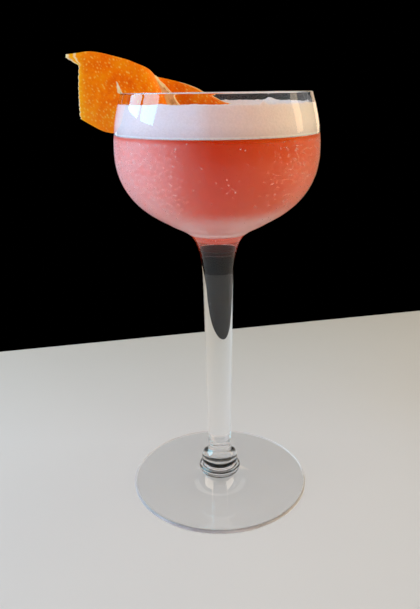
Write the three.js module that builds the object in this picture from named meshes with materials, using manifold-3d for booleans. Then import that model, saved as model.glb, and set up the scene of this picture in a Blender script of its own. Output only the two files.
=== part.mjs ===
// A negroni sour: a cloudy pink-orange drink under egg-white foam, in a small stemmed cocktail glass,
// with a strip of orange peel slit onto the rim. Millimetres, +Z up. The origin is the middle of the
// foot's flat underside, and the peel hangs out over the rim towards -X.
import * as THREE from 'three';
import { mergeVertices } from 'three/addons/utils/BufferGeometryUtils.js';
import Module from 'manifold-3d';

const wasm = await Module();
wasm.setup();

// The glass
const glassHeight = 156;
const footRadius = 36.1;
const footEdge = 1.7; // thickness of the rounded edge of the foot
const footRise = 5.5; // height of the foot's gentle cone where it meets the knop
const ringRadius = 8.6; // the thin ring under the knop
const ringHeight = 6.7;
const ringRound = 1.1;
const knopRadius = 7.5; // the bulb between the ring and the stem
const knopHeight = 10.4;
const stemFootRadius = 4.6;
const stemFootHeight = 15.6;
const stemTopRadius = 5.65;
const stemTopHeight = 84;
const shoulderRadius = 18.7; // where the flare of the stem turns into the belly
const shoulderHeight = 111.3;
const shoulderSlope = THREE.MathUtils.degToRad(32.7);
const flareReach = 9.1; // how far the flare keeps to the shoulder's slope
const flareRise = 25; // how far the flare keeps to the stem's line
const bellyStart = 3.7;
const bellyRadius = 36.1;
const bellyHeight = 136.5;
const bellyDrop = 17.4; // how far the wall stays near upright below its widest line
const bellyLift = 9; // and above it
const rimRadius = 33.05;
const rimLean = 5.6; // height over which the side leans straight in to the rim
const rimInset = 1.5;
const wallAtRim = 0.9;
const wallAtBase = 1.8;
const bottomRadius = 10; // inside this the bowl's floor is one smooth dish

// The contents
const gap = 0.3; // clearance between neighbouring pieces
const drinkTop = 142.5;
const foamTop = 151.3;
const foamClimb = 1; // how far the foam clings up the wall

// The peel: the pith side of its upper and lower cut edges and the line midway, from the outer end
// to the inner end
const peelThickness = 1.7;
const peelUpper = [
  [-45.4, -0.8, 168.4], [-42.8, -1, 168.9], [-39.1, -0.9, 168.6], [-34.2, -0.6, 167.5],
  [-29.4, -0.3, 166.2], [-26, 0, 164.6], [-24.1, 1, 162.9], [-22.7, 3.2, 161],
  [-22.7, 5.8, 160.6], [-21.2, 8.2, 160.8], [-17.6, 9.8, 160.4], [-12.7, 10.2, 159.5],
  [-7.4, 9.4, 157.7], [-2.6, 8, 155.1], [2.4, 6.4, 152.5], [7.6, 4.6, 151.3],
];
const peelMiddle = [
  [-46.4, -2, 158.6], [-43.4, -2.4, 157.8], [-38.8, -2.1, 156.4], [-33.8, -1.6, 154.9],
  [-28.8, -1.2, 153.8], [-23.9, -1, 152.6], [-20.4, -0.2, 151.8], [-18.7, 2.2, 151.4],
  [-19.1, 5, 151], [-17.8, 7.8, 150.8], [-14, 9.6, 150.8], [-10.2, 10.2, 150.8],
  [-5.6, 9.6, 150.4], [-1, 8.4, 149.8], [3.2, 7, 149], [7.8, 5.2, 148.3],
];
const peelLower = [
  [-46.9, -0.8, 148.4], [-43, -1, 146.1], [-38.8, -0.9, 143.8], [-35.2, -0.5, 143.2],
  [-29, -0.2, 143.5], [-22.4, -0.2, 143.5], [-18.3, 0.4, 143.5], [-16.2, 2.6, 143.5],
  [-16.6, 5.2, 143.5], [-15.2, 7.8, 143.5], [-11.4, 9.4, 143.5], [-8.4, 9.9, 143.5],
  [-4.4, 9.6, 143.8], [-0.2, 8.8, 144.4], [4, 7.6, 145.2], [8.2, 5.8, 146],
];
const peelCorner = [-4.4, -1.5, -0.5]; // how far the upper outer corner is drawn out to a point
// The tongue is the front tail of the same peel, split off at the fold and twisted pith forwards
const tongueUpper = [
  [-22.2, 3.4, 161.6], [-20.6, 4.2, 160.2], [-18.2, 4.4, 158.5],
  [-15.4, 4.2, 156], [-13.4, 4.2, 152.5], [-10.6, 4.8, 149.6],
];
const tongueLower = [
  [-21.4, 2.4, 154.6], [-19.4, 2.6, 152.6], [-17.2, 3.2, 150.6],
  [-14.8, 4.2, 148.8], [-12.6, 5, 147.4], [-10, 6, 146.6],
];
const slitTop = 159.7;
const slitX = -32.6;
const slitWidth = 2;
const slitLean = 0.8; // how far the slit leans outwards by its top

const aroundSegments = 36;
const curveSteps = 8;
const peelSteps = 36;
const peelCrossSteps = 4;

const point = (r, z) => new THREE.Vector2(r, z);

// The outside of the bowl, from the top of the stem to the rim, as three smooth curves end to end
function bowlCurves() {
  const slope = point(Math.cos(shoulderSlope), Math.sin(shoulderSlope));
  const stemTop = point(stemTopRadius, stemTopHeight);
  const shoulder = point(shoulderRadius, shoulderHeight);
  const belly = point(bellyRadius, bellyHeight);
  const rim = point(rimRadius, glassHeight - wallAtRim / 2);
  return [
    new THREE.CubicBezierCurve(
      stemTop,
      point(stemTopRadius, stemTopHeight + flareRise),
      shoulder.clone().addScaledVector(slope, -flareReach),
      shoulder,
    ),
    new THREE.CubicBezierCurve(
      shoulder,
      shoulder.clone().addScaledVector(slope, bellyStart),
      point(bellyRadius, bellyHeight - bellyDrop),
      belly,
    ),
    new THREE.CubicBezierCurve(
      belly,
      point(bellyRadius, bellyHeight + bellyLift),
      point(rimRadius + rimInset, glassHeight - rimLean),
      rim,
    ),
  ];
}

// Points along those curves, moved inwards by depth(share), where share runs from 0 at the stem
// to 1 at the rim
function bowlLine(depth) {
  const line = [];
  bowlCurves().forEach((curve, index, all) => {
    for (let i = index === 0 ? 0 : 1; i <= curveSteps; i += 1) {
      const along = i / curveSteps;
      const tangent = curve.getTangent(along);
      const inwards = point(-tangent.y, tangent.x);
      line.push(curve.getPoint(along).addScaledVector(inwards, depth((index + along) / all.length)));
    }
  });
  return line;
}

// The inside of the bowl from its axis to the rim, moved further in by a clearance
function insideLine(clearance) {
  const wall = (share) => wallAtBase + (wallAtRim - wallAtBase) * share + clearance;
  const line = bowlLine(wall).slice(curveSteps / 2).filter((p) => p.x > bottomRadius);
  const [first, second] = line;
  const slope = (second.y - first.y) / (second.x - first.x);
  const floor = first.y - (slope * first.x) / 2;
  const dish = [];
  const dishSteps = 5;
  for (let i = 0; i < dishSteps; i += 1) {
    const r = (first.x * i) / dishSteps;
    dish.push(point(r, floor + (slope * r * r) / (2 * first.x)));
  }
  return [...dish, ...line];
}

function arc(centre, radius, fromDegrees, toDegrees, steps) {
  const points = [];
  for (let i = 0; i <= steps; i += 1) {
    const angle = THREE.MathUtils.degToRad(fromDegrees + ((toDegrees - fromDegrees) * i) / steps);
    points.push(point(centre.x + radius * Math.cos(angle), centre.y + radius * Math.sin(angle)));
  }
  return points;
}

function revolve(profile) {
  return new THREE.LatheGeometry(profile, aroundSegments).rotateX(Math.PI / 2);
}

function footAndKnop() {
  const edge = footEdge / 2;
  const footTop = new THREE.QuadraticBezierCurve(
    point(footRadius - edge, footEdge),
    point(ringRadius * 2, footEdge + 0.6),
    point(ringRadius - ringRound, footRise),
  );
  const knop = new THREE.CubicBezierCurve(
    point(knopRadius - 0.5, ringHeight + ringRound),
    point(knopRadius + 0.6, knopHeight),
    point(knopRadius - 0.2, stemFootHeight - 2),
    point(stemFootRadius, stemFootHeight),
  );
  return [
    point(0, 0),
    ...arc(point(footRadius - edge, edge), edge, -90, 90, 4),
    ...footTop.getPoints(4).slice(1),
    ...arc(point(ringRadius - ringRound, ringHeight), ringRound, -70, 80, 4),
    ...knop.getPoints(6),
  ];
}

function glassGeometry() {
  const outside = bowlLine(() => 0);
  const lip = arc(point(rimRadius - wallAtRim / 2, glassHeight - wallAtRim / 2), wallAtRim / 2, 20, 160, 4);
  return revolve([...footAndKnop(), ...outside, ...lip, ...insideLine(0).reverse()]);
}

// The part of a line of rising points between two heights, with its ends cut exactly there
function between(line, low, high) {
  const radiusAt = (z) => {
    const next = line.findIndex((p) => p.y > z);
    const a = line[next - 1];
    const b = line[next];
    return a.x + ((b.x - a.x) * (z - a.y)) / (b.y - a.y);
  };
  return [
    point(radiusAt(low), low),
    ...line.filter((p) => p.y > low + gap && p.y < high - gap),
    point(radiusAt(high), high),
  ];
}

function drinkGeometry() {
  const wall = insideLine(gap);
  const level = drinkTop - gap / 2;
  return revolve([...wall.slice(0, 1), ...between(wall, wall[0].y + gap, level), point(0, level)]);
}

function foamGeometry() {
  const floor = drinkTop + gap / 2;
  const wall = between(insideLine(gap), floor, foamTop + foamClimb);
  const edge = wall[wall.length - 1].x;
  const surface = [0.96, 0.88, 0.72, 0.45, 0].map((r) => point(r * edge, foamTop + foamClimb * r ** 8));
  return revolve([point(0, floor), ...wall, ...surface]);
}

const vectors = (list) => list.map((p) => new THREE.Vector3(...p));

// A closed strip of peel: pith on the surface through the lines, zest one thickness in front of it.
// extra thickens it on every side, for the room it takes in the foam.
function stripGeometry(lines, steps, extra, corner) {
  const curves = lines.map((line) => new THREE.CatmullRomCurve3(vectors(line)));
  const at = (along, across) => {
    const [a, b, c] = curves.map((curve) => curve.getPoint(along));
    const bend = (share) => 2 * (share - 0.5) * (share - 1);
    return a.multiplyScalar(bend(across))
      .addScaledVector(b, 4 * across * (1 - across))
      .addScaledVector(c, bend(1 - across));
  };
  const positions = [];
  const small = 1e-3;
  for (let i = 0; i <= steps; i += 1) {
    const along = i / steps;
    const ring = [];
    for (let j = 0; j <= peelCrossSteps; j += 1) {
      const across = j / peelCrossSteps;
      const here = at(along, across);
      const before = at(Math.max(along - small, 0), across);
      const lengthwise = at(Math.min(along + small, 1), across).sub(before).normalize();
      const crosswise = at(along, across + small).sub(at(along, across - small)).normalize();
      const zestward = crosswise.clone().cross(lengthwise).normalize();
      const edge = (j === 0 ? -extra : 0) + (j === peelCrossSteps ? extra : 0);
      const end = (i === 0 ? -extra : 0) + (i === steps ? extra : 0);
      here.addScaledVector(crosswise, edge).addScaledVector(lengthwise, end);
      if (i === 0 && j === 0) here.add(new THREE.Vector3(...corner));
      ring[j] = here.clone().addScaledVector(zestward, -extra);
      ring[2 * peelCrossSteps + 1 - j] = here.clone().addScaledVector(zestward, peelThickness + extra);
    }
    ring.forEach((p) => positions.push(p.x, p.y, p.z));
  }
  const around = 2 * (peelCrossSteps + 1);
  const faces = [];
  for (let i = 0; i < steps; i += 1) {
    for (let k = 0; k < around; k += 1) {
      const a = i * around + k;
      const b = i * around + ((k + 1) % around);
      faces.push(a, a + around, b, b, a + around, b + around);
    }
  }
  for (let j = 0; j < peelCrossSteps; j += 1) {
    const opposite = around - 1 - j;
    faces.push(j, j + 1, opposite, j + 1, opposite - 1, opposite);
    const last = steps * around;
    faces.push(last + j, last + opposite, last + j + 1, last + j + 1, last + opposite, last + opposite - 1);
  }
  const geometry = new THREE.BufferGeometry();
  geometry.setAttribute('position', new THREE.Float32BufferAttribute(positions, 3));
  geometry.setIndex(faces);
  return geometry;
}

function toSolid(geometry) {
  const bare = geometry.clone();
  bare.deleteAttribute('normal');
  bare.deleteAttribute('uv');
  const merged = mergeVertices(bare);
  return new wasm.Manifold(new wasm.Mesh({
    numProp: 3,
    vertProperties: Float32Array.from(merged.attributes.position.array),
    triVerts: Uint32Array.from(merged.index.array),
  }));
}

function toGeometry(solid) {
  const mesh = solid.getMesh();
  const geometry = new THREE.BufferGeometry();
  geometry.setAttribute('position', new THREE.Float32BufferAttribute(mesh.vertProperties, 3));
  geometry.setIndex([...mesh.triVerts]);
  geometry.computeVertexNormals();
  return geometry;
}

function peelBody(extra) {
  const ribbon = stripGeometry([peelUpper, peelMiddle, peelLower], peelSteps, extra, peelCorner);
  const halfway = tongueUpper.map((p, i) => p.map((value, axis) => (value + tongueLower[i][axis]) / 2));
  const tongue = stripGeometry([tongueUpper, halfway, tongueLower], curveSteps, extra, [0, 0, 0]);
  return toSolid(ribbon).add(toSolid(tongue));
}

// The glass wall with its clearance, and the open wedge of the slit above the rim
function slitTool() {
  const clear = gap + 0.05;
  const low = peelLower[2][2] - 8;
  const outer = between(bowlLine(() => -clear), low, glassHeight - wallAtRim);
  const inner = between(insideLine(clear), low, glassHeight - wallAtRim);
  const lip = wallAtRim / 2;
  const top = arc(point(rimRadius - lip, glassHeight - lip), lip + clear, 0, 180, 4);
  const wall = toSolid(revolve([...outer, ...top, ...inner.reverse(), outer[0]]));
  const wedge = new THREE.Shape([
    point(slitX - slitWidth / 2, glassHeight - wallAtRim),
    point(slitX + slitWidth / 2, glassHeight - wallAtRim),
    point(slitX - slitLean + 0.2, slitTop),
    point(slitX - slitLean - 0.2, slitTop),
  ]);
  const depth = 12;
  const cut = new THREE.ExtrudeGeometry(wedge, { depth, bevelEnabled: false });
  cut.rotateX(Math.PI / 2).translate(0, depth / 2, 0);
  return wall.add(toSolid(cut));
}

const materials = {
  glass: new THREE.MeshStandardMaterial({
    color: 0xf4f7f8, roughness: 0.03, metalness: 0, transparent: true, opacity: 0.35,
  }),
  drink: new THREE.MeshStandardMaterial({ color: 0xd4605a, roughness: 0.2, metalness: 0 }),
  foam: new THREE.MeshStandardMaterial({ color: 0xe9dedd, roughness: 0.8, metalness: 0 }),
  peel: new THREE.MeshStandardMaterial({ color: 0xe87808, roughness: 0.5, metalness: 0 }),
};

const negroniSour = new THREE.Group();

function addPart(name, geometry, material) {
  const mesh = new THREE.Mesh(geometry, material);
  mesh.name = name;
  negroniSour.add(mesh);
}

addPart('glass', glassGeometry(), materials.glass);
addPart('drink', drinkGeometry(), materials.drink);
addPart('foam', toGeometry(toSolid(foamGeometry()).subtract(peelBody(gap))), materials.foam);
addPart('orange_peel', toGeometry(peelBody(0).subtract(slitTool())), materials.peel);

export default negroniSour;
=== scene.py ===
import math

import bpy
import numpy as np
from mathutils import Matrix, Vector


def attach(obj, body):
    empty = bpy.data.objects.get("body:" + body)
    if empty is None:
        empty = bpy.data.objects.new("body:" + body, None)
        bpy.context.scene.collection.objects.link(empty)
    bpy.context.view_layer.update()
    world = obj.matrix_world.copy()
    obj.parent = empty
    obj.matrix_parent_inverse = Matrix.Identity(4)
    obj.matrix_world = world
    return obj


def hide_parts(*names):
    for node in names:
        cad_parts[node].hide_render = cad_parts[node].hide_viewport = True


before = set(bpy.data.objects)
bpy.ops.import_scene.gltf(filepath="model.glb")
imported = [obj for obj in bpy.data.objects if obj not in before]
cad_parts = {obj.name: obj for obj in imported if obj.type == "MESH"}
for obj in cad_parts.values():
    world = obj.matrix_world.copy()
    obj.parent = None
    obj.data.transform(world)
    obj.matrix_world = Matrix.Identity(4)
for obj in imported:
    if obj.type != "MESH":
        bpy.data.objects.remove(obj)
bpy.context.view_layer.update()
print("frame loaded")

mm = 0.001


# sRGB hex to the linear colour that Blender works in
def linearColour(hexText):
    channels = [int(hexText[i:i + 2], 16) / 255 for i in (1, 3, 5)]
    return tuple(c / 12.92 if c <= 0.04045 else ((c + 0.055) / 1.055) ** 2.4 for c in channels) + (1.0,)


# a pattern with features of this many millimetres, in object coordinates
def patternScale(size):
    return 1 / (size * mm)


def newMaterial(name):
    material = bpy.data.materials.new(name)
    material.use_nodes = True
    material.node_tree.nodes.clear()
    return material


# adds one node; a value in inputs is either a plain value or the socket that feeds it
def addNode(material, kind, settings=None, inputs=None):
    node = material.node_tree.nodes.new(kind)
    for key, value in (settings or {}).items():
        setattr(node, key, value)
    for key, value in (inputs or {}).items():
        if isinstance(value, bpy.types.NodeSocket):
            material.node_tree.links.new(value, node.inputs[key])
        else:
            node.inputs[key].default_value = value
    return node


def setRamp(node, stops):
    elements = node.color_ramp.elements
    while len(elements) < len(stops):
        elements.new(1.0)
    for element, (place, value) in zip(elements, stops):
        element.position = place
        element.color = linearColour(value) if isinstance(value, str) else (value, value, value, 1.0)
    return node.outputs["Color"]


def newPiece(name, points, faces, material, standsFor=(), values=None):
    mesh = bpy.data.meshes.new(name)
    mesh.from_pydata((np.asarray(points, float) * mm).tolist(), [], faces)
    for key, value in (values or {}).items():
        layer = mesh.attributes.new(key, "FLOAT", "POINT")
        layer.data.foreach_set("value", np.asarray(value, np.float32))
    mesh.polygons.foreach_set("use_smooth", np.ones(len(mesh.polygons), bool))
    mesh.materials.append(material)
    piece = bpy.data.objects.new(name, mesh)
    bpy.context.scene.collection.objects.link(piece)
    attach(piece, "root")
    if standsFor:
        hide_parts(*standsFor)
    print(name, "has", len(mesh.polygons), "faces")
    return piece


def smoothStep(low, high, value):
    share = np.clip((np.asarray(value, float) - low) / (high - low), 0, 1)
    return share * share * (3 - 2 * share)


# turns a profile of (radius, height) points, which starts and ends on the axis, round the axis
def revolve(profile, segments):
    angles = np.arange(segments) * 2 * math.pi / segments
    rings, points = [], []
    for radius, height in profile:
        start = len(points)
        if radius < 1e-6:
            points.append((0.0, 0.0, height))
            rings.append([start] * segments)
        else:
            points.extend(zip(radius * np.cos(angles), radius * np.sin(angles), [height] * segments))
            rings.append(list(range(start, start + segments)))
    faces = []
    for a, b in zip(rings, rings[1:]):
        for k in range(segments):
            n = (k + 1) % segments
            corners = [a[k], a[n], b[n], b[k]]
            faces.append([c for i, c in enumerate(corners) if c not in corners[:i]])
    return np.array(points), faces


glass = {
    "height": 156, "footRadius": 36.1, "footEdge": 1.7, "footRise": 5.5,
    "ringRadius": 8.6, "ringHeight": 6.7, "ringRound": 1.1, "knopRadius": 7.5, "knopHeight": 10.4,
    "stemFootRadius": 4.6, "stemFootHeight": 15.6, "stemTopRadius": 5.65, "stemTopHeight": 84,
    "shoulderRadius": 18.7, "shoulderHeight": 111.3, "shoulderSlope": 32.7, "flareReach": 9.1,
    "flareRise": 25, "bellyStart": 3.7, "bellyRadius": 36.1, "bellyHeight": 136.5, "bellyDrop": 17.4,
    "bellyLift": 9, "rimRadius": 33.05, "rimLean": 5.6, "rimInset": 1.5, "wallAtRim": 0.9, "wallAtBase": 1.8,
    "bottomRadius": 10, "segments": 192, "curveSteps": 40, "lipSteps": 12, "rippleSize": 14.3,
}


def bezier(controls, steps):
    t = np.linspace(0, 1, steps + 1)[:, None]
    points = np.array(controls, float)
    degree = len(points) - 1
    place, along = 0, 0
    for i in range(degree + 1):
        place = place + math.comb(degree, i) * t ** i * (1 - t) ** (degree - i) * points[i]
    for i in range(degree):
        weight = math.comb(degree - 1, i) * t ** i * (1 - t) ** (degree - 1 - i)
        along = along + weight * (points[i + 1] - points[i])
    return place, along / np.linalg.norm(along, axis=1)[:, None]


# three curves, end to end: up the flare of the stem, over the shoulder and the belly, and in to the rim
def bowlControls():
    g = glass
    lean = math.radians(g["shoulderSlope"])
    slope = np.array([math.cos(lean), math.sin(lean)])
    shoulder = np.array([g["shoulderRadius"], g["shoulderHeight"]])
    stemTop = (g["stemTopRadius"], g["stemTopHeight"])
    belly = (g["bellyRadius"], g["bellyHeight"])
    return [
        [stemTop, (stemTop[0], stemTop[1] + g["flareRise"]), shoulder - slope * g["flareReach"], shoulder],
        [shoulder, shoulder + slope * g["bellyStart"], (belly[0], belly[1] - g["bellyDrop"]), belly],
        [belly, (belly[0], belly[1] + g["bellyLift"]),
         (g["rimRadius"] + g["rimInset"], g["height"] - g["rimLean"]),
         (g["rimRadius"], g["height"] - g["wallAtRim"] / 2)],
    ]


# the outside of the bowl from the stem to the rim, moved inwards by depth(share)
def bowlLine(depth):
    line = []
    for index, controls in enumerate(bowlControls()):
        place, along = bezier(controls, glass["curveSteps"])
        share = (index + np.linspace(0, 1, len(place))) / 3
        inwards = np.stack([-along[:, 1], along[:, 0]], 1)
        line.extend((place + inwards * np.reshape(depth(share), (-1, 1)))[0 if index == 0 else 1:])
    return np.array(line)


# the inside of the bowl from its axis to the rim, moved further in by a clearance
def insideLine(clearance):
    base, rim = glass["wallAtBase"], glass["wallAtRim"]
    line = bowlLine(lambda share: base + (rim - base) * share + clearance)[glass["curveSteps"] // 2:]
    line = line[line[:, 0] > glass["bottomRadius"]]
    first, second = line[0], line[1]
    slope = (second[1] - first[1]) / (second[0] - first[0])
    radii = np.linspace(0, first[0], 16)[:-1]
    dish = np.stack([radii, first[1] - slope * first[0] / 2 + slope * radii ** 2 / (2 * first[0])], 1)
    return np.vstack([dish, line])


def arcPoints(centre, radius, start, end, steps):
    angles = np.radians(np.linspace(start, end, steps + 1))
    return np.stack([centre[0] + radius * np.cos(angles), centre[1] + radius * np.sin(angles)], 1)


def glassProfile():
    g = glass
    edge, lip = g["footEdge"] / 2, g["wallAtRim"] / 2
    footTop, _ = bezier([(g["footRadius"] - edge, g["footEdge"]), (g["ringRadius"] * 2, g["footEdge"] + 0.6),
                         (g["ringRadius"] - g["ringRound"], g["footRise"])], 30)
    knop, _ = bezier([(g["knopRadius"] - 0.5, g["ringHeight"] + g["ringRound"]),
                      (g["knopRadius"] + 0.6, g["knopHeight"]),
                      (g["knopRadius"] - 0.2, g["stemFootHeight"] - 2),
                      (g["stemFootRadius"], g["stemFootHeight"])], 24)
    stem = np.stack([np.linspace(g["stemFootRadius"], g["stemTopRadius"], 31)[1:-1],
                     np.linspace(g["stemFootHeight"], g["stemTopHeight"], 31)[1:-1]], 1)
    below = [(0, 0), (g["footRadius"] * 0.4, 0), (g["footRadius"] * 0.8, 0)]
    return np.vstack([
        below, arcPoints((g["footRadius"] - edge, edge), edge, -90, 90, 14), footTop[1:],
        arcPoints((g["ringRadius"] - g["ringRound"], g["ringHeight"]), g["ringRound"], -70, 80, 14),
        knop, stem, bowlLine(lambda share: 0 * share),
        arcPoints((g["rimRadius"] - lip, g["height"] - lip), lip, 12, 168, g["lipSteps"]),
        insideLine(0)[::-1],
    ])


# Soda-lime glass, blown and fire polished: clear and glossy, with a faint mist of cold on the outside
def clearGlass():
    m = newMaterial("clear_blown_glass")
    place = addNode(m, "ShaderNodeTexCoord")
    waves = addNode(m, "ShaderNodeTexNoise", None, {
        "Vector": place.outputs["Object"], "Scale": patternScale(glass["rippleSize"]), "Detail": 2.0})
    ripple = addNode(m, "ShaderNodeBump", None,
                     {"Strength": 0.05, "Distance": 0.0006, "Height": waves.outputs["Fac"]})
    mist = addNode(m, "ShaderNodeAttribute", {"attribute_name": "mist"})
    dull = addNode(m, "ShaderNodeMapRange", None, {
        "Value": mist.outputs["Fac"], "From Min": 0.0, "From Max": 0.006, "To Min": 0.0, "To Max": 0.3})
    body = addNode(m, "ShaderNodeBsdfPrincipled", None, {
        "Base Color": linearColour("#FFFFFF"), "Roughness": dull.outputs[0], "IOR": 1.5,
        "Transmission Weight": 1.0, "Normal": ripple.outputs["Normal"]})
    # the beads of mist are some hundredths of a millimetre, and are drawn coarser so that they show
    speckle = addNode(m, "ShaderNodeTexNoise", None, {
        "Vector": place.outputs["Object"], "Scale": patternScale(mistShape["speckleSize"]), "Detail": 2.0})
    patches = addNode(m, "ShaderNodeTexNoise", None, {
        "Vector": place.outputs["Object"], "Scale": patternScale(mistShape["patchSize"]), "Detail": 2.0})
    grains = setRamp(addNode(m, "ShaderNodeValToRGB", None, {"Fac": speckle.outputs["Fac"]}),
                     [(0.35, 0.8), (0.65, 1.15)])
    areas = setRamp(addNode(m, "ShaderNodeValToRGB", None, {"Fac": patches.outputs["Fac"]}),
                    [(0.35, 0.75), (0.65, 1.1)])
    amount = addNode(m, "ShaderNodeMath", {"operation": "MULTIPLY"}, {0: grains, 1: areas})
    share = addNode(m, "ShaderNodeMath", {"operation": "MULTIPLY"},
                    {0: amount.outputs[0], 1: mist.outputs["Fac"]})
    frost = addNode(m, "ShaderNodeBsdfPrincipled", None, {
        "Base Color": linearColour("#FAFBFC"), "Roughness": 0.5, "IOR": 1.33})
    misted = addNode(m, "ShaderNodeMixShader", None,
                     {0: share.outputs[0], 1: body.outputs[0], 2: frost.outputs[0]})
    clear = addNode(m, "ShaderNodeBsdfTransparent", None, {"Color": linearColour("#FBFBFB")})
    # light on its way to matt things passes straight through the glass
    path = addNode(m, "ShaderNodeLightPath")
    bounced = addNode(m, "ShaderNodeMixShader", None,
                      {0: path.outputs["Is Diffuse Ray"], 1: misted.outputs[0], 2: clear.outputs[0]})
    mixed = addNode(m, "ShaderNodeMixShader", None,
                    {0: path.outputs["Is Shadow Ray"], 1: bounced.outputs[0], 2: clear.outputs[0]})
    addNode(m, "ShaderNodeOutputMaterial", None, {"Surface": mixed.outputs[0]})
    return m


# share of the wall's light that the mist scatters, by degrees round from the front towards +X
mistShape = {
    "degrees": (-180, -135, -50, -24, -6, 34, 58, 90, 150, 180),
    "share": (0.3, 0.32, 0.34, 0.17, 0.0, 0.0, 0.08, 0.16, 0.26, 0.3), "blur": 9, "least": 0.008,
    "lowShare": 0.3, "low": 106.9, "full": 107.5, "pale": 114, "even": 120, "fade": 140.8, "top": 142.4,
    "lineAt": 108, "lineWidth": 0.7, "lineShare": 0.25, "footShare": 0.5, "knopShare": 0.0012,
    "speckleSize": 1.43, "patchSize": 16.7,
}


# how misted each point of the glass is: only on the outside, and fading out at the foam
def mistAmounts(points, outsideCount):
    shape = mistShape
    heights, radii = points[:, 2], np.hypot(points[:, 0], points[:, 1])
    degrees = np.degrees(np.arctan2(points[:, 0], -points[:, 1]))
    turns = [(degrees + shift + 180) % 360 - 180 for shift in np.linspace(-1, 1, 9) * shape["blur"]]
    mist = sum(np.interp(turn, shape["degrees"], shape["share"]) for turn in turns) / len(turns)
    mist += (shape["lowShare"] - mist) * (1 - smoothStep(shape["pale"], shape["even"], heights))
    mist += shape["lineShare"] * np.exp(-((heights - shape["lineAt"]) / shape["lineWidth"]) ** 2)
    mist = np.maximum(mist, shape["least"]) * smoothStep(shape["low"], shape["full"], heights)
    mist *= 1 - smoothStep(shape["fade"], shape["top"], heights)
    # the round edge of the foot scatters the light of the table, and the knop is a very little dull
    edge = smoothStep(glass["footRadius"] - 0.75, glass["footRadius"] - 0.1, radii)
    edge *= heights < glass["footEdge"] + 0.3
    knop = smoothStep(4, 6, heights) * (1 - smoothStep(13, 16, heights)) * (radii < glass["ringRadius"] + 0.5)
    mist += shape["footShare"] * edge + shape["knopShare"] * knop
    mist[outsideCount:] = 0
    return mist


def makeGlass():
    profile = glassProfile()
    points, faces = revolve(profile, glass["segments"])
    # the first ring is a single point, and the lip counts as inside
    lipRing = len(profile) - len(insideLine(0)) - glass["lipSteps"] - 1
    mist = mistAmounts(points, 1 + (lipRing - 1) * glass["segments"])
    newPiece("glass_clear", points, faces, clearGlass(), ["glass"], {"mist": mist})


makeGlass()


contents = {"drinkTop": 142.5, "foamTop": 151.3, "foamClimb": 1.0, "intoWall": 0.12, "cloudSize": 22.2}


def wallRadius(line, height):
    rising = line[line[:, 0] > glass["bottomRadius"]]
    return np.interp(height, rising[:, 1], rising[:, 0])


# Shaken gin, vermouth and bitter aperitif: cloudy red-orange, painted paler where light passes near the
# bottom, and painted lighter pink on the left and warmer orange on the right for the side lights
def cloudyDrink():
    m = newMaterial("cloudy_red_orange_drink")
    place = addNode(m, "ShaderNodeTexCoord")
    apart = addNode(m, "ShaderNodeSeparateXYZ", None, {"Vector": place.outputs["Object"]})
    # painted light: the colour is paler towards the bottom, where the table's light comes through the glass
    height = addNode(m, "ShaderNodeMapRange", None,
                     {"Value": apart.outputs["Z"], "From Min": 0.106, "From Max": 0.143})
    clouds = addNode(m, "ShaderNodeTexNoise", None, {
        "Vector": place.outputs["Object"], "Scale": patternScale(contents["cloudSize"]),
        "Detail": 3.0, "Roughness": 0.6})
    shifted = addNode(m, "ShaderNodeMath", {"operation": "MULTIPLY_ADD"},
                      {0: clouds.outputs["Fac"], 1: 0.22, 2: height.outputs[0]})
    colour = setRamp(addNode(m, "ShaderNodeValToRGB", None, {"Fac": shifted.outputs[0]}),
                     [(0.1, "#F05A3C"), (0.3, "#EE4E2A"), (0.8, "#DC3E12"), (1.0, "#D83C0C")])
    # painted light: lighter pink towards -X for the cool light from the left, orange towards +X for the warm
    # light from the right
    leftLightShare = addNode(m, "ShaderNodeMapRange", None,
                       {"Value": apart.outputs["X"], "From Min": -0.010, "From Max": -0.030})
    rightLightShare = addNode(m, "ShaderNodeMapRange", None,
                        {"Value": apart.outputs["X"], "From Min": 0.0, "From Max": 0.024})
    leftPaintedLight = addNode(m, "ShaderNodeMix", {"data_type": "RGBA"},
                     {0: leftLightShare.outputs[0], 6: colour, 7: linearColour("#FF5E48")})
    rightPaintedLight = addNode(m, "ShaderNodeMix", {"data_type": "RGBA"},
                     {0: rightLightShare.outputs[0], 6: leftPaintedLight.outputs[2], 7: linearColour("#DE5A18")})
    body = addNode(m, "ShaderNodeBsdfPrincipled", {"subsurface_method": "RANDOM_WALK"}, {
        "Base Color": rightPaintedLight.outputs[2], "Roughness": 0.25, "IOR": 1.34, "Subsurface Weight": 0.5,
        "Subsurface Radius": (1.0, 0.3, 0.15), "Subsurface Scale": 0.004})
    addNode(m, "ShaderNodeOutputMaterial", None, {"Surface": body.outputs[0]})
    return m


def makeDrink():
    line = insideLine(-contents["intoWall"])
    top = contents["drinkTop"] - 0.05
    below = line[line[:, 1] < top - 0.1]
    radius = wallRadius(line, top)
    profile = np.vstack([below, [(radius, top), (radius * 0.5, top), (0, top)]])
    points, faces = revolve(profile, glass["segments"])
    newPiece("drink_cloudy", points, faces, cloudyDrink(), ["drink"])


makeDrink()


foam = {
    "segments": 620, "sideSteps": 26, "bubbleCount": 2600, "bubbleRadius": (0.25, 0.75), "bubbleReach": 32.6,
    "edgeRoughness": 0.22, "swellHeight": 0.2, "swellReach": 33, "cellSize": 0.667, "grainSize": 0.714,
    "clingAngles": (24, -31, 58, 140, -118, 97), "clingHeight": (1.1, 0.4, 0.4, 0.9, 0.8, 0.6),
    "clingWidth": (1.3, 3.0, 2.0, 3.5, 4.0, 2.4),
}
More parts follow.
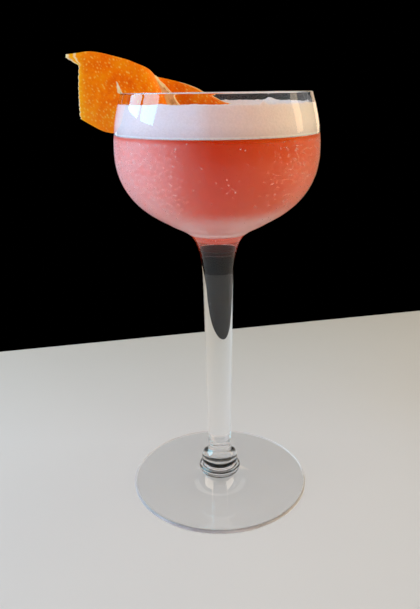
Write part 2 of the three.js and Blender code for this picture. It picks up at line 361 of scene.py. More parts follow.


# Whipped egg white: matt, soft and fine grained, letting light a few millimetres in; painted cool to the
# left, darker pink in the middle and warm to the right for the side lights
def eggFoam():
    m = newMaterial("whipped_egg_white")
    place = addNode(m, "ShaderNodeTexCoord")
    apart = addNode(m, "ShaderNodeSeparateXYZ", None, {"Vector": place.outputs["Object"]})
    height = addNode(m, "ShaderNodeMapRange", None,
                     {"Value": apart.outputs["Z"], "From Min": 0.1425, "From Max": 0.1465})
    colour = setRamp(addNode(m, "ShaderNodeValToRGB", None, {"Fac": height.outputs[0]}),
                     [(0.0, "#FFFFFF"), (0.12, "#FFFFFF"), (0.2, "#EAE2E2"), (0.6, "#F0EAEA"),
                      (1.0, "#F5F0F0")])
    # painted light: cool white to the left, darker pink in the middle and warm white to the right, for the
    # cool and warm side lights
    side = addNode(m, "ShaderNodeMapRange", None,
                   {"Value": apart.outputs["X"], "From Min": -0.035, "From Max": 0.035})
    cast = setRamp(addNode(m, "ShaderNodeValToRGB", None, {"Fac": side.outputs[0]}),
                   [(0.0, "#FBFBFF"), (0.32, "#FAFAFF"), (0.4, "#FBF9FE"), (0.47, "#F8EAE7"),
                    (0.64, "#FBECE6"), (0.9, "#FFFEFA")])
    # the foam's own bubbles are about 0.1 mm, and are drawn coarser so that they show
    cells = addNode(m, "ShaderNodeTexVoronoi", None, {
        "Vector": place.outputs["Object"], "Scale": patternScale(foam["cellSize"])})
    grain = addNode(m, "ShaderNodeTexNoise", None, {
        "Vector": place.outputs["Object"], "Scale": patternScale(foam["grainSize"]), "Detail": 2.0})
    shade = setRamp(addNode(m, "ShaderNodeValToRGB", None, {"Fac": grain.outputs["Fac"]}),
                    [(0.38, 0.95), (0.58, 1.0)])
    grained = addNode(m, "ShaderNodeMix", {"data_type": "RGBA", "blend_type": "MULTIPLY"},
                      {0: 1.0, 6: colour, 7: shade})
    # the grain multiplied by the painted side light
    tone = addNode(m, "ShaderNodeMix", {"data_type": "RGBA", "blend_type": "MULTIPLY"},
                   {0: 1.0, 6: grained.outputs[2], 7: cast})
    both = addNode(m, "ShaderNodeMath", {"operation": "MULTIPLY_ADD"},
                   {0: cells.outputs["Distance"], 1: 0.5, 2: grain.outputs["Fac"]})
    bump = addNode(m, "ShaderNodeBump", None,
                   {"Strength": 0.35, "Distance": 0.00025, "Height": both.outputs[0]})
    body = addNode(m, "ShaderNodeBsdfPrincipled", {"subsurface_method": "RANDOM_WALK"}, {
        "Base Color": tone.outputs[2], "Roughness": 0.55, "IOR": 1.34, "Subsurface Weight": 0.6,
        "Subsurface Radius": (1.0, 0.75, 0.65), "Subsurface Scale": 0.003, "Normal": bump.outputs["Normal"]})
    addNode(m, "ShaderNodeOutputMaterial", None, {"Surface": body.outputs[0]})
    return m


# a gentle wave round the glass made of a few sines, from -1 to 1
def aroundWave(angles, turns, seed):
    draw = np.random.default_rng(seed)
    total = 0
    for turn in turns:
        total = total + np.sin(turn * angles + draw.uniform(0, 2 * math.pi)) / len(turns)
    return total


# the ragged upper edge of the foam, with a few peaks that cling to the wall
def foamEdge(angles):
    rise = foam["edgeRoughness"] * aroundWave(angles, (5, 9, 17, 31, 47, 83, 121, 170), 4)
    for where, high, wide in zip(foam["clingAngles"], foam["clingHeight"], foam["clingWidth"]):
        away = (angles - math.radians(where - 90) + math.pi) % (2 * math.pi) - math.pi
        rise = rise + high * np.exp(-(away * glass["rimRadius"] / wide) ** 2 * 2)
    return rise


# how far the larger bubbles stand out of the foam's top
def foamBubbles(surface):
    draw = np.random.default_rng(11)
    raised = np.zeros(len(surface))
    for _ in range(foam["bubbleCount"]):
        away = foam["bubbleReach"] * math.sqrt(draw.uniform(0, 1))
        around = draw.uniform(0, 2 * math.pi)
        size = draw.uniform(*foam["bubbleRadius"]) ** 1.5 + 0.1
        near = (surface[:, 0] - away * math.cos(around)) ** 2 + (surface[:, 1] - away * math.sin(around)) ** 2
        inside = near < size * size
        raised[inside] = np.maximum(raised[inside], 0.55 * np.sqrt(size * size - near[inside]))
    return raised


# slow waves over the foam's top, about 10 to 40 mm long, that die out at the wall
def foamSwell(surface):
    swell = aroundWave(surface[:, 0] * 0.21, (1, 2.3), 5) + aroundWave(surface[:, 1] * 0.17, (1, 2.7), 6)
    still = (np.hypot(surface[:, 0], surface[:, 1]) / foam["swellReach"]) ** 6
    return foam["swellHeight"] * swell * (1 - still)


def makeFoam():
    line = insideLine(-contents["intoWall"])
    floor = contents["drinkTop"] - 0.1
    segments = foam["segments"]
    angles = np.arange(segments) * 2 * math.pi / segments
    edge = contents["foamTop"] + contents["foamClimb"] + foamEdge(angles)
    rings = []
    for step in range(foam["sideSteps"] + 1):
        heights = floor + (edge - floor) * step / foam["sideSteps"]
        rings.append(np.stack([wallRadius(line, heights), heights], 1))
    outer = rings[-1][:, 0]
    shares = 1 - np.concatenate([np.linspace(0, 0.05, 12)[1:], np.linspace(0.05, 1, 90)[1:-1]])
    for share in shares:
        # the foam climbs only near the wall, and its ragged edge is narrower still
        climb = contents["foamClimb"] * share ** 14 + foamEdge(angles) * share ** 40
        rings.append(np.stack([outer * share, contents["foamTop"] + climb], 1))
    rings = np.array(rings)
    flat = np.stack([rings[..., 0] * np.cos(angles), rings[..., 0] * np.sin(angles), rings[..., 1]], -1)
    surface = flat[foam["sideSteps"] + 1:].reshape(-1, 3)
    surface[:, 2] += foamBubbles(surface) + foamSwell(surface)
    ringPoints = flat[:foam["sideSteps"] + 1].reshape(-1, 3)
    points = np.vstack([[(0, 0, floor)], ringPoints, surface, [(0, 0, contents["foamTop"] + 0.1)]])
    count = foam["sideSteps"] + 1 + len(shares)
    faces = []
    for k in range(segments):
        n = (k + 1) % segments
        faces.append((0, 1 + n, 1 + k))
        for ring in range(count - 1):
            a, b = 1 + ring * segments, 1 + (ring + 1) * segments
            faces.append((a + k, a + n, b + n, b + k))
        last = 1 + (count - 1) * segments
        faces.append((last + k, last + n, len(points) - 1))
    newPiece("foam_head", points, faces, eggFoam(), ["foam"])


makeFoam()


peel = {
    "thickness": 1.7, "alongSteps": 300, "acrossSteps": 90, "rimSteps": 6,
    "notchLength": 1.55, "notchDepth": 0.75, "poreSpacing": 1.45, "poreDepth": 0.1, "poreRadius": 0.4,
    "slitTop": 159.7, "slitClear": 0.08, "slitOpen": 0.7, "slitX": -32.75, "slitLean": 0.23,
    "wallDepth": 0.75, "stripLength": 105, "stripWidth": 21,
    "mottleSize": 8.33, "spongeSize": 2.63, "fineSize": 0.714,
    # the strip's back, from its outer end over the rim and round the fold to the tip of the tail
    "upper": [
        (-45.4, -0.8, 168.4), (-42.8, -1, 168.9), (-39.1, -0.9, 168.6), (-34.2, -0.6, 167.5),
        (-29.4, -0.3, 166.2), (-26, 0, 164.6), (-24.1, 1, 162.9), (-22.7, 3.2, 161),
        (-22.7, 5.8, 160.6), (-21.2, 8.2, 160.8), (-17.6, 9.8, 160.4), (-12.7, 10.2, 159.5),
        (-7.4, 9.4, 157.7), (-2.6, 8, 155.1), (2.4, 6.4, 152.5), (7.6, 4.6, 151.3)],
    "middle": [
        (-46.4, -2, 158.6), (-43.4, -2.4, 157.8), (-38.8, -2.1, 156.4), (-33.8, -1.6, 154.9),
        (-28.8, -1.2, 153.8), (-23.9, -1, 152.6), (-20.4, -0.2, 151.8), (-18.7, 2.2, 151.4),
        (-19.1, 5, 151), (-17.8, 7.8, 150.8), (-14, 9.6, 150.8), (-10.2, 10.2, 150.8),
        (-5.6, 9.6, 150.4), (-1, 8.4, 149.8), (3.2, 7, 149), (7.8, 5.2, 148.3)],
    "lower": [
        (-46.9, -0.8, 148.4), (-43, -1, 146.1), (-38.8, -0.9, 143.8), (-35.2, -0.5, 143.2),
        (-29, -0.2, 143.5), (-22.4, -0.2, 143.5), (-18.3, 0.4, 143.5), (-16.2, 2.6, 143.5),
        (-16.6, 5.2, 143.5), (-15.2, 7.8, 143.5), (-11.4, 9.4, 143.5), (-8.4, 9.9, 143.5),
        (-4.4, 9.6, 143.8), (-0.2, 8.8, 144.4), (4, 7.6, 145.2), (8.2, 5.8, 146)],
    # the short tongue in front of the tail, from the fold into the foam
    "tongueUpper": [
        (-22.2, 3.4, 161.6), (-20.6, 4.2, 160.2), (-18.2, 4.4, 158.5), (-15.4, 4.2, 156),
        (-13.4, 4.2, 152.5), (-10.6, 4.8, 149.6)],
    "tongueLower": [
        (-21.4, 2.4, 154.6), (-19.4, 2.6, 152.6), (-17.2, 3.2, 150.6), (-14.8, 4.2, 148.8),
        (-12.6, 5, 147.4), (-10, 6, 146.6)],
    "corner": (-5.4, -1.9, -0.5), "cornerTip": 0.8, "cornerTall": 3.8, "cornerLong": 1.6,
}


# a smooth curve through points (centripetal Catmull-Rom), read at shares from 0 to 1
def throughPoints(points, shares):
    p = np.array(points, float)
    p = np.vstack([2 * p[0] - p[1], p, 2 * p[-1] - p[-2]])
    reach = np.clip(np.asarray(shares, float), 0, 1) * (len(points) - 1)
    start = np.minimum(reach.astype(int), len(points) - 2)
    w = (reach - start)[..., None]
    a, b, c, d = p[start], p[start + 1], p[start + 2], p[start + 3]
    steps = (b - a, c - b, d - c)
    gaps = [np.maximum(np.linalg.norm(step, axis=-1, keepdims=True) ** 0.5, 1e-4) for step in steps]
    leave = ((b - a) / gaps[0] - (c - a) / (gaps[0] + gaps[1]) + (c - b) / gaps[1]) * gaps[1]
    arrive = ((c - b) / gaps[1] - (d - b) / (gaps[1] + gaps[2]) + (d - c) / gaps[2]) * gaps[1]
    square = -3 * b + 3 * c - 2 * leave - arrive
    cube = 2 * b - 2 * c + leave + arrive
    return b + leave * w + square * w ** 2 + cube * w ** 3


# the back (pith) surface of a strip: along runs from 0 to 1, across from 0 (upper edge) to 1 (lower edge)
def stripAt(lines, along, across):
    a, b, c = (throughPoints(line, along) for line in lines)
    s = np.asarray(across, float)[..., None]
    return a * 2 * (s - 0.5) * (s - 1) + b * 4 * s * (1 - s) + c * 2 * s * (s - 0.5)


def stripFrame(lines, along, across):
    small = 1e-3
    ahead, behind = np.minimum(along + small, 1), np.maximum(along - small, 0)
    lengthwise = stripAt(lines, ahead, across) - stripAt(lines, behind, across)
    crosswise = stripAt(lines, along, across + small) - stripAt(lines, along, across - small)
    lengthwise /= np.linalg.norm(lengthwise, axis=-1, keepdims=True)
    crosswise /= np.linalg.norm(crosswise, axis=-1, keepdims=True)
    front = np.cross(crosswise, lengthwise)
    return lengthwise, crosswise, front / np.linalg.norm(front, axis=-1, keepdims=True)


# joins a front and a back sheet of the same quads into one closed skin, with a rounded edge between them
def closeSkin(front, back, quads, layers, bulge):
    count = len(front)
    edges = {}
    for quad in quads:
        for a, b in zip(quad, quad[1:] + quad[:1]):
            edges[(a, b)] = True
    border = [(a, b) for a, b in edges if (b, a) not in edges]
    points = [*front, *back]
    depth = [0.0] * count + [1.0] * count
    outward = {}
    for a, b in border:
        away = np.cross(front[b] - front[a], front[a] - back[a])
        length = np.linalg.norm(away)
        for v in (a, b):
            outward[v] = outward.get(v, 0) + (away / length if length > 1e-9 else 0)
    columns = {}
    for v, away in outward.items():
        length = np.linalg.norm(away)
        away = away / length if length > 1e-9 else away
        column = [v]
        for layer in range(1, layers):
            share = layer / layers
            swell = bulge * math.sin(math.pi * share) ** 0.6
            points.append(front[v] + (back[v] - front[v]) * share + away * swell)
            depth.append(share)
            column.append(len(points) - 1)
        columns[v] = column + [count + v]
    faces = [tuple(q) for q in quads] + [tuple(count + v for v in reversed(q)) for q in quads]
    for a, b in border:
        for p, q, r, s in zip(columns[a], columns[a][1:], columns[b], columns[b][1:]):
            faces.append((p, q, s, r))
    return np.array(points), faces, np.array(depth)


# jittered rows of oil glands over the strip's flat length and width: 1 at a gland's middle, 0 away from it
def poreField(length, width, spacing, radius, seed):
    draw = np.random.default_rng(seed)
    glands = []
    for row in range(-1, int(width.max() / spacing) + 2):
        for column in range(-1, int(length.max() / spacing) + 2):
            shift = 0.5 * (row % 2)
            glands.append(((column + shift + draw.uniform(-0.45, 0.45)) * spacing,
                           (row + draw.uniform(-0.45, 0.45)) * spacing * 0.9))
    glands = np.array(glands)
    sizes = radius * draw.uniform(0.45, 1.2, len(glands))
    field = np.zeros(len(length))
    order = np.argsort(length)
    ordered = length[order]
    for (x, y), size in zip(glands, sizes):
        low, high = np.searchsorted(ordered, (x - size, x + size))
        near = order[low:high]
        away = ((length[near] - x) ** 2 + (width[near] - y) ** 2) / size ** 2
        inside = away < 1
        field[near[inside]] = np.maximum(field[near[inside]], (1 - away[inside]) ** 2 * size / radius)
    return field


# Fresh orange peel, cut by knife: glossy dimpled zest over a pale spongy pith
def orangePeel():
    m = newMaterial("fresh_orange_peel")
    place = addNode(m, "ShaderNodeTexCoord")
    depth = addNode(m, "ShaderNodeAttribute", {"attribute_name": "depth"})
    pore = addNode(m, "ShaderNodeAttribute", {"attribute_name": "pore"})
    end = addNode(m, "ShaderNodeAttribute", {"attribute_name": "end"})
    mottle = addNode(m, "ShaderNodeTexNoise", None, {
        "Vector": place.outputs["Object"], "Scale": patternScale(peel["mottleSize"]),
        "Detail": 7.0, "Roughness": 0.75})
    zest = setRamp(addNode(m, "ShaderNodeValToRGB", None, {"Fac": mottle.outputs["Fac"]}),
                   [(0.3, "#EE5C00"), (0.5, "#FF8400"), (0.68, "#FFA408")])
    # painted highlight: the oil glands are painted pale yellow for the glints on their dimples
    glandGlints = addNode(m, "ShaderNodeMix", {"data_type": "RGBA"},
                     {0: pore.outputs["Fac"], 6: zest, 7: linearColour("#FFD25C")})
    # painted light: the zest is painted yellower near the cut outer end, for light shining through the pith
    # there
    lit = addNode(m, "ShaderNodeMix", {"data_type": "RGBA"},
                  {0: end.outputs["Fac"], 6: glandGlints.outputs[2], 7: linearColour("#FFCC10")})
    sponge = addNode(m, "ShaderNodeTexNoise", None, {
        "Vector": place.outputs["Object"], "Scale": patternScale(peel["spongeSize"]), "Detail": 4.0})
    pith = setRamp(addNode(m, "ShaderNodeValToRGB", None, {"Fac": sponge.outputs["Fac"]}),
                   [(0.3, "#FFE7A4"), (0.7, "#FFF4CC")])
    ragged = addNode(m, "ShaderNodeMath", {"operation": "MULTIPLY_ADD"},
                     {0: sponge.outputs["Fac"], 1: 0.1, 2: depth.outputs["Fac"]})
    under = setRamp(addNode(m, "ShaderNodeValToRGB", None, {"Fac": ragged.outputs[0]}),
                    [(0.16, 0.0), (0.3, 1.0)])
    # painted shade: the tongue's pith lies in the ribbon's shadow and is painted tan, mottled darker brown,
    # away from its lit upper edge
    tan = addNode(m, "ShaderNodeAttribute", {"attribute_name": "tan"})
    shadedPith = setRamp(addNode(m, "ShaderNodeValToRGB", None, {"Fac": sponge.outputs["Fac"]}),
                      [(0.32, "#A87846"), (0.5, "#F0C084")])
    inner = addNode(m, "ShaderNodeMix", {"data_type": "RGBA"}, {0: tan.outputs["Fac"], 6: pith, 7: shadedPith})
    colour = addNode(m, "ShaderNodeMix", {"data_type": "RGBA"},
                     {0: under, 6: lit.outputs[2], 7: inner.outputs[2]})
    gloss = setRamp(addNode(m, "ShaderNodeValToRGB", None, {"Fac": under}), [(0.0, 0.38), (1.0, 0.8)])
    fine = addNode(m, "ShaderNodeTexNoise", None, {
        "Vector": place.outputs["Object"], "Scale": patternScale(peel["fineSize"]), "Detail": 2.0})
    bump = addNode(m, "ShaderNodeBump", None,
                   {"Strength": 0.3, "Distance": 0.0001, "Height": fine.outputs["Fac"]})
    body = addNode(m, "ShaderNodeBsdfPrincipled", {"subsurface_method": "RANDOM_WALK"}, {
        "Base Color": colour.outputs[2], "Roughness": gloss, "IOR": 1.45, "Specular IOR Level": 0.2,
        "Subsurface Weight": 0.2, "Subsurface Radius": (1.0, 0.4, 0.1), "Subsurface Scale": 0.0015,
        "Normal": bump.outputs["Normal"]})
    addNode(m, "ShaderNodeOutputMaterial", None, {"Surface": body.outputs[0]})
    return m


# where along the strip each row across reaches a given x, on the part that hangs over the rim
def alongAtX(lines, across, x):
    shares = np.linspace(0, 0.36, 400)
    found = []
    for s, wanted in zip(across, x):
        found.append(np.interp(wanted, stripAt(lines, shares, np.full(400, s))[:, 0], shares))
    return np.array(found)


# where each row meets the slit, which follows the wall up to the rim and has its sides together above it
def slitPlaces(lines, rows):
    outer = bowlLine(lambda share: peel["wallDepth"] + 0 * share)
    outer = outer[glass["curveSteps"] * 3 // 2:]
    middle = np.full(len(rows), peel["slitX"])
    for _ in range(5):
        heights = stripAt(lines, alongAtX(lines, rows, middle), rows)[:, 2]
        wall = -np.interp(heights, outer[:, 1], outer[:, 0])
        leaning = peel["slitX"] - peel["slitLean"] * np.clip(heights - glass["height"], 0, 4)
        middle = np.where(heights < glass["height"], wall, leaning)
    closed = heights > glass["height"] + peel["slitClear"]
    half = np.where(closed, 0, glass["wallAtRim"] / 2 + peel["slitClear"])
    return closed, alongAtX(lines, rows, middle - half), alongAtX(lines, rows, middle + half)


# how far the outer cut is nicked by the knife at each row, as a share of the strip's length
def outerCut(rows):
    width = peel["stripWidth"]
    cuts = np.abs((rows * width / peel["notchLength"] + 0.4 * np.sin(rows * 9)) % 1 - 0.5)
    notch = peel["notchDepth"] * np.clip(1 - cuts / 0.2, 0, 1)
    notch += 0.12 * aroundWave(rows * width, (2.1, 3.7), 3)
    return np.clip((notch + 0.2) / peel["stripLength"], 0, 1)


# 1 inside the small gape of the slit above the rim, where the zest side shows the pith
def slitWedge(front, along):
    above = front[:, 2] - glass["height"]
    slant = peel["slitX"] - peel["slitLean"] * above
    gape = peel["slitOpen"] * np.clip(1 - above / (peel["slitTop"] - glass["height"]), 0, 1)
    wedge = 1 - smoothStep(0, 0.25, np.abs(front[:, 0] - slant) - gape)
    return wedge * ((above > 0) & (front[:, 2] < peel["slitTop"]) & (along < 0.3))


def runningLength(grid, axis):
    total = np.zeros(grid.shape[:2])
    steps = np.cumsum(np.linalg.norm(np.diff(grid, axis=axis), axis=2), axis)
    if axis == 0:
        total[1:] = steps
    else:
        total[:, 1:] = steps
    return total


# the quads between neighbouring rows and columns, without those across the slit
def ribbonQuads(index, leftSteps):
    quads = []
    for upper, lower in zip(index, index[1:]):
        for j in range(len(upper) - 1):
            if j != leftSteps:
                quads.append([int(upper[j]), int(upper[j + 1]), int(lower[j + 1]), int(lower[j])])
    return quads


def makeRibbon():
    lines = [peel["upper"], peel["middle"], peel["lower"]]
    rows = np.linspace(0, 1, peel["acrossSteps"] + 1)
    leftSteps = peel["alongSteps"] // 6
    rightSteps = peel["alongSteps"] - leftSteps
    closed, leftEdge, rightEdge = slitPlaces(lines, rows)
    start = outerCut(rows)
    left = start[:, None] + (leftEdge - start)[:, None] * np.linspace(0, 1, leftSteps + 1)
    right = rightEdge[:, None] + (1 - rightEdge)[:, None] * np.linspace(0, 1, rightSteps + 1)
    count = leftSteps + 1 + rightSteps + 1
    # rows above the slit share one column there
    index = np.arange(len(rows) * count).reshape(len(rows), count)
    index[closed, leftSteps + 1] = index[closed, leftSteps]
    quads = ribbonQuads(index, leftSteps)
    across = np.repeat(rows, count)
    along = np.concatenate([left, right], 1).reshape(-1)
    back = stripAt(lines, along, across)
    normal = stripFrame(lines, along, across)[2]
    front = back + normal * peel["thickness"]
    grid = front.reshape(len(rows), count, 3)
    width = runningLength(grid, 0)
    length = np.repeat(runningLength(grid, 1)[len(rows) // 2][None], len(rows), 0)
    pores = poreField(length.reshape(-1), width.reshape(-1), peel["poreSpacing"], peel["poreRadius"], 21)
    edgeFade = smoothStep(0, 0.03, across) * smoothStep(0, 0.03, 1 - across)
    front = front - normal * (peel["poreDepth"] * pores * edgeFade)[:, None]
    back = back + normal * (0.12 * aroundWave(across * 9 + along * 40, (1, 2.7, 5.1), 8))[:, None]
    wedge = slitWedge(front, along)
    front = front - normal * (0.12 * wedge)[:, None]
    # the upper outer corner is drawn out to a small curled point
    fromEnd = (along - np.repeat(start, count)) * peel["stripLength"]
    corner = np.exp(-fromEnd / peel["cornerLong"])
    corner *= np.clip(1.06 - across * peel["stripWidth"] / peel["cornerTall"], 0, peel["cornerTip"])
    front = front + corner[:, None] * peel["corner"]
    back = back + corner[:, None] * peel["corner"]
    points, faces, depth = closeSkin(front, back, quads, peel["rimSteps"], 0.12)
    used = np.unique(np.concatenate([np.array(f) for f in faces]))
    renumber = np.full(len(points), -1)
    renumber[used] = np.arange(len(used))
    faces = [tuple(int(renumber[v]) for v in f) for f in faces]
    pore, end = np.zeros(len(points)), np.zeros(len(points))
    pore[:len(pores)] = pores
    # painted light: how strongly the zest near the cut outer end is painted yellower
    end[:len(pores)] = 0.65 * np.exp(-fromEnd / 1.4) + 0.35 * np.exp(-fromEnd / 7)
    # pale lines: the bevelled outer cut, the crease of the curled corner and the sides of the slit
    border = 1 - smoothStep(0.3, 0.5, fromEnd)
    crease = np.exp(-((fromEnd - 1.25) / 0.3) ** 2) * (1 - smoothStep(0.17, 0.25, across))
    depth[:len(pores)] = 0.4 * np.maximum(np.maximum(border, crease), wedge)
    # the tail's edges were cut aslant and stay zest
    tail = np.zeros(len(points), bool)
    tail[len(pores):] = (points[len(pores):, 0] > -20) & (points[len(pores):, 1] < 13)
    depth[tail & (depth < 0.99)] *= 0.12
    return points[used], faces, depth[used], pore[used], end[used]


def makeTongue():
    upper, lower = np.array(peel["tongueUpper"]), np.array(peel["tongueLower"])
    lines = [upper, (upper + lower) / 2, lower]
    longSteps, crossSteps = 60, 30
    along, across = (grid.reshape(-1) for grid in np.meshgrid(np.linspace(0, 1, longSteps + 1),
                                                              np.linspace(0, 1, crossSteps + 1)))
    back = stripAt(lines, along, across)
    front = back + stripFrame(lines, along, across)[2] * peel["thickness"]
    count = longSteps + 1
    quads = [[i * count + j, i * count + j + 1, (i + 1) * count + j + 1, (i + 1) * count + j]
             for i in range(crossSteps) for j in range(longSteps)]
    points, faces, depth = closeSkin(front, back, quads, peel["rimSteps"], 0.15)
    # painted shade on the tongue's pith, from a ragged line a little below its upper edge
    tan = np.zeros(len(points))
    ragged = 0.16 + 0.05 * aroundWave(along * 14, (1, 2.3, 4.1), 15)
    tan[:len(front)] = smoothStep(ragged, ragged + 0.06, across)
    return points, faces, 1 - depth, tan


def makePeel():
    points, faces, depth, pore, end = makeRibbon()
    more, moreFaces, moreDepth, morePithShade = makeTongue()
    faces = faces + [tuple(v + len(points) for v in f) for f in moreFaces]
    zeros = np.zeros(len(more))
    newPiece("peel_strip", np.vstack([points, more]), faces, orangePeel(), ["orange_peel"], {
        "depth": np.concatenate([depth, moreDepth]), "pore": np.concatenate([pore, zeros]),
        "end": np.concatenate([end, zeros]), "tan": np.concatenate([0 * end, morePithShade])})


makePeel()


drops = {
    "count": 9500, "low": 112, "top": 142, "radius": (0.05, 0.24), "flat": 0.5, "sides": 6,
    "onStem": 8, "stemRadius": (0.12, 0.25), "stemHeights": (60, 100), "unevenSize": 1.67,
    "clearWay": 4, "clearHalf": 16, "clearFade": 24, "clearShare": 0.1,
}


# Condensed water: small clear beads on the cold wall that catch the light
def waterBeads():
    m = newMaterial("condensed_water")
    place = addNode(m, "ShaderNodeTexCoord")
    tiny = addNode(m, "ShaderNodeTexNoise", None, {
        "Vector": place.outputs["Object"], "Scale": patternScale(drops["unevenSize"])})
    bump = addNode(m, "ShaderNodeBump", None,
                   {"Strength": 0.1, "Distance": 0.0001, "Height": tiny.outputs["Fac"]})
    body = addNode(m, "ShaderNodeBsdfPrincipled", None, {
        "Base Color": linearColour("#FFFFFF"), "Roughness": 0.12, "IOR": 1.33,
        "Normal": bump.outputs["Normal"]})
    clear = addNode(m, "ShaderNodeBsdfTransparent")
    mixed = addNode(m, "ShaderNodeMixShader", None, {0: 0.4, 1: clear.outputs[0], 2: body.outputs[0]})
    addNode(m, "ShaderNodeOutputMaterial", None, {"Surface": mixed.outputs[0]})
    return m


def makeDrops():
    draw = np.random.default_rng(7)
    line = bowlLine(lambda share: 0 * share)
    sides = drops["sides"]
    points, faces = [], []

    def addDrop(radius, height, around, slopeOut, slopeUp, size, tall):
        out = np.array([math.cos(around), math.sin(around), 0])
        normal = out * slopeOut + np.array([0, 0, slopeUp])
        side = np.array([-math.sin(around), math.cos(around), 0])
        up = np.cross(normal, side)
        middle = out * radius + np.array([0, 0, height])
        start = len(points)
        for reach, lift in ((1.0, -0.03), (0.72, tall * 0.7)):
            for k in range(sides):
                turn = 2 * math.pi * (k + 0.5 * lift) / sides
                points.append(middle + (side * math.cos(turn) + up * math.sin(turn)) * reach * size
                              + normal * (lift * size if lift > 0 else lift))
        points.append(middle + normal * tall * size)
        for k in range(sides):
            n = (k + 1) % sides
            faces.append((start + k, start + n, start + sides + n, start + sides + k))
            faces.append((start + sides + k, start + sides + n, start + 2 * sides))
        faces.append(tuple(start + k for k in reversed(range(sides))))

    lengths = np.concatenate([[0], np.cumsum(np.linalg.norm(np.diff(line, axis=0), axis=1))])
    area = np.concatenate([[0], np.cumsum(np.diff(lengths) * (line[1:, 0] + line[:-1, 0]) / 2
                                          * smoothStep(drops["low"], drops["low"] + 20, line[1:, 1])
                                          * (line[1:, 1] < drops["top"]))])
    for _ in range(drops["count"]):
        at = np.interp(draw.uniform(0, area[-1]), area, np.arange(len(line)))
        low = min(int(at), len(line) - 2)
        spot = line[low] + (line[low + 1] - line[low]) * (at - low)
        along = (line[low + 1] - line[low]) / np.linalg.norm(line[low + 1] - line[low])
        size = drops["radius"][0] + (drops["radius"][1] - drops["radius"][0]) * draw.uniform() ** 3
        around, kept = draw.uniform(0, 2 * math.pi), draw.uniform()
        aside = abs((math.degrees(around) - drops["clearWay"] + 270) % 360 - 180) - drops["clearHalf"]
        if kept < max(drops["clearShare"], smoothStep(0, drops["clearFade"], aside)):
            addDrop(spot[0], spot[1], around, along[1], -along[0], size, drops["flat"])
    flare = line[:glass["curveSteps"]]
    stem = np.vstack([[(glass["stemFootRadius"], glass["stemFootHeight"])], flare])
    for _ in range(drops["onStem"]):
        height = draw.uniform(*drops["stemHeights"])
        radius = np.interp(height, stem[:, 1], stem[:, 0])
        around, size = draw.uniform(0, 2 * math.pi), draw.uniform(*drops["stemRadius"])
        addDrop(radius, height, around, 1, 0, size, drops["flat"])
    newPiece("condensation", points, faces, waterBeads())


makeDrops()


table = {
    "edgeLeft": (-139.4, 139.1), "edgeRight": (154.1, 205.2), "reach": 800, "near": -900,
    "thickness": 18, "top": -0.05, "round": 1.5, "castSize": 167, "grainSize": 1.11,
}


# Matt painted table top: pale neutral grey, faintly uneven and darker away from the light
def paleTable():
    m = newMaterial("pale_matt_table")
    place = addNode(m, "ShaderNodeTexCoord")
    cast = addNode(m, "ShaderNodeTexNoise", None, {
        "Vector": place.outputs["Object"], "Scale": patternScale(table["castSize"]), "Detail": 3.0})
    tone = setRamp(addNode(m, "ShaderNodeValToRGB", None, {"Fac": cast.outputs["Fac"]}),
                   [(0.3, "#D7DBD9"), (0.7, "#DCE0DD")])
    apart = addNode(m, "ShaderNodeSeparateXYZ", None, {"Vector": place.outputs["Object"]})
    far = addNode(m, "ShaderNodeMapRange", None,
                  {"Value": apart.outputs["Y"], "From Min": 0.03, "From Max": 0.25})
    shaded = addNode(m, "ShaderNodeMix", {"data_type": "RGBA"},
                     {0: far.outputs[0], 6: tone, 7: linearColour("#BAB8AC")})
    grain = addNode(m, "ShaderNodeTexNoise", None, {
        "Vector": place.outputs["Object"], "Scale": patternScale(table["grainSize"]), "Detail": 2.0})
    bump = addNode(m, "ShaderNodeBump", None,
                   {"Strength": 0.08, "Distance": 0.0001, "Height": grain.outputs["Fac"]})
    body = addNode(m, "ShaderNodeBsdfPrincipled", None, {
        "Base Color": shaded.outputs[2], "Roughness": 0.6, "IOR": 1.45, "Specular IOR Level": 0.1,
        "Normal": bump.outputs["Normal"]})
    addNode(m, "ShaderNodeOutputMaterial", None, {"Surface": body.outputs[0]})
    return m


def makeTable():
    left, right = np.array(table["edgeLeft"]), np.array(table["edgeRight"])
    way = (right - left) / np.linalg.norm(right - left)
    farLeft, farRight = left - way * table["reach"], right + way * table["reach"]
    corners = [farLeft, farRight, (farRight[0], table["near"]), (farLeft[0], table["near"])]
    top = [(x, y, table["top"]) for x, y in corners]
    bottom = [(x, y, table["top"] - table["thickness"]) for x, y in corners]
    faces = [(3, 2, 1, 0), (4, 5, 6, 7)] + [(k, (k + 1) % 4, (k + 1) % 4 + 4, k + 4) for k in range(4)]
    mesh = bpy.data.meshes.new("table_top")
    mesh.from_pydata((np.array(top + bottom, float) * mm).tolist(), [], faces)
    mesh.materials.append(paleTable())
    piece = bpy.data.objects.new("table_top", mesh)
    bpy.context.scene.collection.objects.link(piece)
    bevel = piece.modifiers.new("round", "BEVEL")
    bevel.width = table["round"] * mm
    bevel.segments = 3


makeTable()
print("table placed")

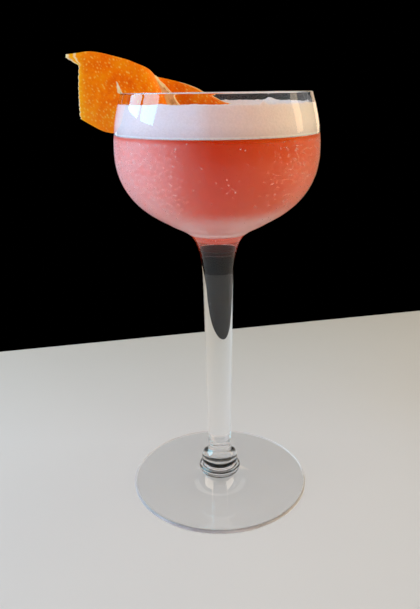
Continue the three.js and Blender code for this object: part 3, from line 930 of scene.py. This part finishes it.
# around (from the front towards +X) and up are degrees, away and size metres; a light that is not mirrored
# only fills, and one that is not lit only shines back from glossy things
lights = [
    {"name": "window_near", "around": -83, "up": 31, "away": 1.0, "size": (0.36, 0.6), "watts": 6.2,
     "colour": "#9AE4FF", "lit": False},
    {"name": "window_far", "around": -108, "up": 31, "away": 1.0, "size": (0.36, 0.6), "watts": 6.2,
     "colour": "#9AE4FF", "lit": False},
    {"name": "left_fill", "around": -74, "up": 25, "away": 1.3, "size": (1.2, 1.2), "watts": 21.4,
     "colour": "#C7DFFF", "mirrored": False},
    {"name": "left_back", "around": -135, "up": 28, "away": 1.2, "size": (0.7, 0.7), "watts": 4.5,
     "colour": "#F0F6F2", "mirrored": False},
    {"name": "warm_strip", "around": 100, "up": 22, "away": 1.2, "size": (0.24, 0.7), "watts": 1.6,
     "colour": "#FFE0B8", "lit": False},
    {"name": "rim_strip", "around": 175, "up": 62, "away": 1.2, "size": (1.6, 0.25), "watts": 5.5,
     "colour": "#FFF0DC", "lit": False},
    {"name": "back_right", "around": 150, "up": 14, "away": 1.4, "size": (0.4, 0.7), "watts": 1.3,
     "colour": "#FFE2C0", "lit": False},
    {"name": "back_left", "around": -150, "up": 14, "away": 1.4, "size": (0.4, 0.7), "watts": 1.0,
     "colour": "#F4F6FF", "lit": False},
    {"name": "right_fill", "around": 86, "up": 20, "away": 1.3, "size": (1.2, 1.0), "watts": 17.2,
     "colour": "#FFE4BC", "mirrored": False},
    {"name": "overhead", "around": 10, "up": 78, "away": 1.4, "size": (1.6, 1.6), "watts": 2.2,
     "colour": "#FFF6DC", "mirrored": False},
    {"name": "front_fill", "around": 5, "up": 30, "away": 2.0, "size": (2.4, 2.0), "watts": 6.6,
     "colour": "#FFC2A5", "mirrored": False},
    {"name": "front_low", "around": -30, "up": 8, "away": 1.6, "size": (1.2, 0.8), "watts": 3.6,
     "colour": "#FFB289", "mirrored": False},
]


def makeLights():
    target = Vector((0, 0, 0.11))
    for item in lights:
        around, up = math.radians(item["around"]), math.radians(item["up"])
        way = Vector((math.sin(around) * math.cos(up), -math.cos(around) * math.cos(up), math.sin(up)))
        lamp = bpy.data.lights.new(item["name"], "AREA")
        lamp.shape = "RECTANGLE"
        lamp.size, lamp.size_y = item["size"]
        lamp.energy = item["watts"]
        lamp.color = linearColour(item["colour"])[:3]
        holder = bpy.data.objects.new(item["name"], lamp)
        holder.location = target + way * item["away"]
        holder.rotation_euler = (-way).to_track_quat("-Z", "Y").to_euler()
        holder.visible_glossy = item.get("mirrored", True)
        holder.visible_transmission = False
        holder.visible_diffuse = item.get("lit", True)
        bpy.context.scene.collection.objects.link(holder)
    world = bpy.data.worlds.new("dark_room")
    world.use_nodes = True
    world.node_tree.nodes["Background"].inputs["Color"].default_value = (0, 0, 0, 1)
    world.node_tree.nodes["Background"].inputs["Strength"].default_value = 0.0
    bpy.context.scene.world = world
    bpy.context.scene.view_settings.view_transform = "Standard"


makeLights()
print("lights placed")

camera = {"place": (-3.2, -220.8, 155.8), "down": 19.29, "roll": -0.81, "lens": 35.77, "sensor": 36}


def makeCamera():
    data = bpy.data.cameras.new("camera")
    data.lens, data.sensor_width = camera["lens"], camera["sensor"]
    data.clip_start = 0.01
    data.dof.use_dof = False
    holder = bpy.data.objects.new("camera", data)
    holder.matrix_world = (Matrix.Translation(Vector(camera["place"]) * mm)
                           @ Matrix.Rotation(math.radians(90 - camera["down"]), 4, "X")
                           @ Matrix.Rotation(math.radians(camera["roll"]), 4, "Z"))
    bpy.context.scene.collection.objects.link(holder)
    bpy.context.scene.camera = holder


makeCamera()
print("camera placed")
